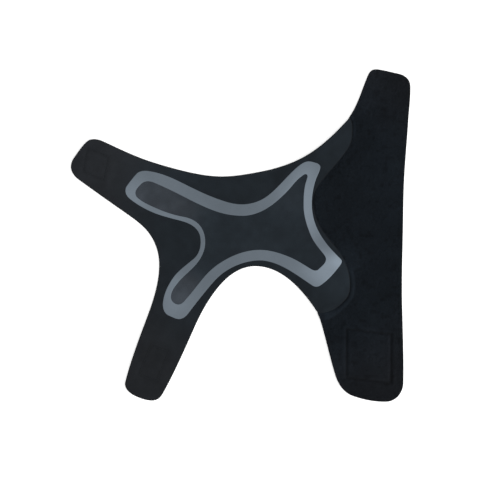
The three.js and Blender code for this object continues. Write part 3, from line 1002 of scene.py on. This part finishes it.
# One loop as it arches: share of its span, share of its height, and side to which it sways.
LOOP_PROFILE = np.array([(-0.5, -0.25, 0), (-0.2, 0.85, 1), (0.2, 1.0, -1), (0.5, -0.25, 0)])

# No loop stands this near the band's cut, the panel or the stitches. On the bead loops are left out at
# random, more the higher the bead is, by this rate.
CLEAR_OF_CUT = 0.8
CLEAR_OF_LAP = 1.0
CLEAR_OF_STITCHES = 1.1
BEAD_BARES = 2.5


def pile_loops(name, low_y, high_y, seed):
    """Loops of yarn standing on the band: low arches on a jittered grid, brushed mostly along the band, and
    left out beside the panel, in the stitched furrow and at the cut edge."""
    rng = np.random.default_rng(seed)
    x, y = np.meshgrid(np.arange(PILE_LEFT, PILE_RIGHT, PILE_PITCH), np.arange(low_y, high_y, PILE_PITCH))
    x = x.ravel() + rng.uniform(-0.5, 0.5, x.size) * PILE_PITCH
    y = y.ravel() + rng.uniform(-0.5, 0.5, y.size) * PILE_PITCH
    beside = edge_distance(x, y, coarse_panel_edge)
    stands = (edge_distance(x, y, coarse_band_edge) < -CLEAR_OF_CUT) & (beside > CLEAR_OF_LAP)
    stands &= np.abs(edge_distance(x, y, tape_corners(BAND_HOOK))) > CLEAR_OF_STITCHES
    stands &= rng.random(x.size) > BEAD_BARES * bead(x, y, beside)
    x, y = x[stands][:, None], y[stands][:, None]
    number = len(x)
    lie = np.pi / 2 + rng.normal(0, LOOP_TURN, (number, 1))
    span = rng.uniform(*LOOP_SPAN, (number, 1))
    height = rng.uniform(*LOOP_HEIGHT, (number, 1))
    along, arch, side = LOOP_PROFILE.T
    sway = rng.normal(0, LOOP_SWAY, (number, 1)) * side
    px = x + np.cos(lie) * span * along - np.sin(lie) * sway
    py = y + np.sin(lie) * span * along + np.cos(lie) * sway
    pz = band_top(x, y) + height * arch
    radius = rng.uniform(*YARN_RADIUS, (number, 1))
    points, triangles = tubes(np.stack([px, py, pz], 2), radius, 3)
    piece = add_piece(name, points, triangles, yarn_finish)
    tone_pile(piece)
    map_from_above(piece)
    return piece


upper_pile = pile_loops("upper_pile", 46, 142, 5)
middle_pile = pile_loops("middle_pile", -50, 46, 6)
lower_pile = pile_loops("lower_pile", -142, -50, 7)

# Hook patches and stitches.

TAPE_CORNER = 2.0
TAPE_CLEARANCE = 0.03

# Hooks: pitch along and across the tape, stagger of every second row, how far they reach from the tape's
# middle, and how far in from the stitches they begin.
HOOK_PITCH_ALONG = 1.35
HOOK_PITCH_ACROSS = 1.15
HOOK_STAGGER = 0.67
HOOK_REACH = 30
HOOK_MARGIN = 1.0

# One hook from the tape down: how far it leans over, its height above the floor, and its radius.
HOOK_PROFILE = np.array([
    (0.0, HOOK_HEIGHT + 0.1, 0.13), (0.04, 0.4, 0.12), (0.22, 0.14, 0.12),
    (0.5, 0.13, 0.11), (0.62, 0.34, 0.08),
])

# Stitches: length, radius of the thread and of the turn at a corner, and one stitch as rows of its share of
# the length and its height above the cloth.
STITCH_LENGTH = 2.6
THREAD_RADIUS = 0.17
STITCH_CORNER = 1.0
STITCH_PROFILE = np.array([
    (0.04, -0.34), (0.12, -0.04), (0.3, 0.1), (0.5, 0.13), (0.7, 0.1), (0.88, -0.04), (0.96, -0.34),
])


def hook_patch(name, tape, node):
    """A tape with a woven base and rows of hooks below it, which reach the floor and lean to and fro."""
    path = rounded_path(tape_corners(tape, STITCH_MARGIN), TAPE_CORNER, step=0.8)
    base = cloth_sheet(
        name, [path],
        lambda x, y: np.full_like(x, HOOK_HEIGHT),
        lambda x, y: np.full_like(x, TAPE_LIFT - TAPE_CLEARANCE),
        CUT_EDGE[1:-1], step=2.0, underside_step=2.0, finish=hook_finish,
    )
    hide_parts(node)
    along, across = np.radians(tape["heading"]), np.radians(tape["heading"] + 90)
    u = np.arange(-HOOK_REACH, HOOK_REACH, HOOK_PITCH_ALONG)
    v = np.arange(-HOOK_REACH, HOOK_REACH, HOOK_PITCH_ACROSS)
    u, v = np.meshgrid(u, v)
    u[1::2] += HOOK_STAGGER
    x = tape["x"] + u.ravel() * np.cos(along) + v.ravel() * np.cos(across)
    y = tape["y"] + u.ravel() * np.sin(along) + v.ravel() * np.sin(across)
    inside = edge_distance(x, y, tape_corners(tape)) < -HOOK_MARGIN
    x, y = x[inside][:, None], y[inside][:, None]
    way = along + np.where(np.arange(len(x)) % 2, 0, np.pi)[:, None]
    lean, height, radius = HOOK_PROFILE.T
    px = x + np.cos(way) * lean
    py = y + np.sin(way) * lean
    points, triangles = tubes(np.stack([px, py, np.broadcast_to(height, px.shape)], 2), radius, 4)
    map_from_above(add_piece(name + "_hooks", points, triangles, hook_finish))


def stitches(name, tape, top, finish):
    """Lockstitches along a stitched square: each is a short thread that dips into the cloth at each end."""
    ring, along = ring_of(rounded_path(tape_corners(tape), STITCH_CORNER, step=0.1))
    number = round(along[-1] / STITCH_LENGTH)
    share, rise = STITCH_PROFILE.T
    at = (np.arange(number)[:, None] + share) * along[-1] / number
    x, y = (np.interp(at, along, ring[:, k]) for k in (0, 1))
    points, triangles = tubes(np.stack([x, y, top(x, y) + rise], 2), THREAD_RADIUS, 6)
    piece = add_piece(name, points, triangles, finish)
    map_from_above(piece)
    return piece


hook_patch("upper_strap_tape", UPPER_STRAP_HOOK, "hook_patch_upper_strap")
hook_patch("lower_strap_tape", LOWER_STRAP_HOOK, "hook_patch_lower_strap")
hook_patch("band_tape", BAND_HOOK, "hook_patch_band")
upper_stitches = stitches("upper_strap_stitches", UPPER_STRAP_HOOK, panel_top, grey_thread)
lower_stitches = stitches("lower_strap_stitches", LOWER_STRAP_HOOK, panel_top, grey_thread)
band_stitches = stitches("band_stitches", BAND_HOOK, band_top, black_thread)

# Floor, light and camera.

FLOOR_REACH = 3.0
FLOOR_GLOW = 0.42
ROOM_LIGHT = 0.87
WHITE = (1.0, 1.0, 1.0, 1.0)

# The camera looks straight down from far off, so that this width of the floor fills the picture.
VIEW_WIDTH = 407.5
VIEW_MIDDLE = (-0.37, -3.85)
LENS = 300
SENSOR = 36


def pale_floor():
    """A square of floor that glows a little, as a white table under even light does."""
    paint = Finish("pale_floor", Roughness=0.9, Specular_IOR_Level=0.0, Emission_Strength=FLOOR_GLOW)
    paint.shader.inputs["Emission Color"].default_value = WHITE
    soft = paint.noise(400, 1.0)
    paint.feed("Base Color", paint.blend(soft, (0.93, 0.93, 0.93, 1), (0.95, 0.95, 0.95, 1)))
    mesh = bpy.data.meshes.new("floor")
    corners = [(-1, -1, 0), (1, -1, 0), (1, 1, 0), (-1, 1, 0)]
    mesh.from_pydata([Vector(corner) * FLOOR_REACH for corner in corners], [], [(0, 1, 2, 3)])
    mesh.materials.append(paint.material)
    floor = bpy.data.objects.new("floor", mesh)
    bpy.context.scene.collection.objects.link(floor)
    return floor


def soft_sun(name, towards, softness, strength):
    """Even light from far off; softness is the angle that its source fills, in degrees."""
    lamp = bpy.data.lights.new(name, "SUN")
    lamp.angle = np.radians(softness)
    lamp.energy = strength
    light = bpy.data.objects.new(name, lamp)
    light.rotation_euler = Vector(towards).to_track_quat("Z", "Y").to_euler()
    bpy.context.scene.collection.objects.link(light)


floor = pale_floor()
scene = bpy.context.scene
scene.view_settings.view_transform = "Standard"
scene.view_settings.look = "None"
scene.world = bpy.data.worlds.new("soft_room")
scene.world.use_nodes = True
room = scene.world.node_tree.nodes["Background"]
room.inputs["Color"].default_value = WHITE
room.inputs["Strength"].default_value = ROOM_LIGHT
soft_sun("window", towards=(0.742, -0.346, 0.574), softness=45, strength=2.44)

camera_data = bpy.data.cameras.new("camera")
camera_data.lens = LENS
camera_data.sensor_width = SENSOR
camera = bpy.data.objects.new("camera", camera_data)
camera.location = Vector((*VIEW_MIDDLE, VIEW_WIDTH * LENS / SENSOR)) * MM
scene.collection.objects.link(camera)
scene.camera = camera
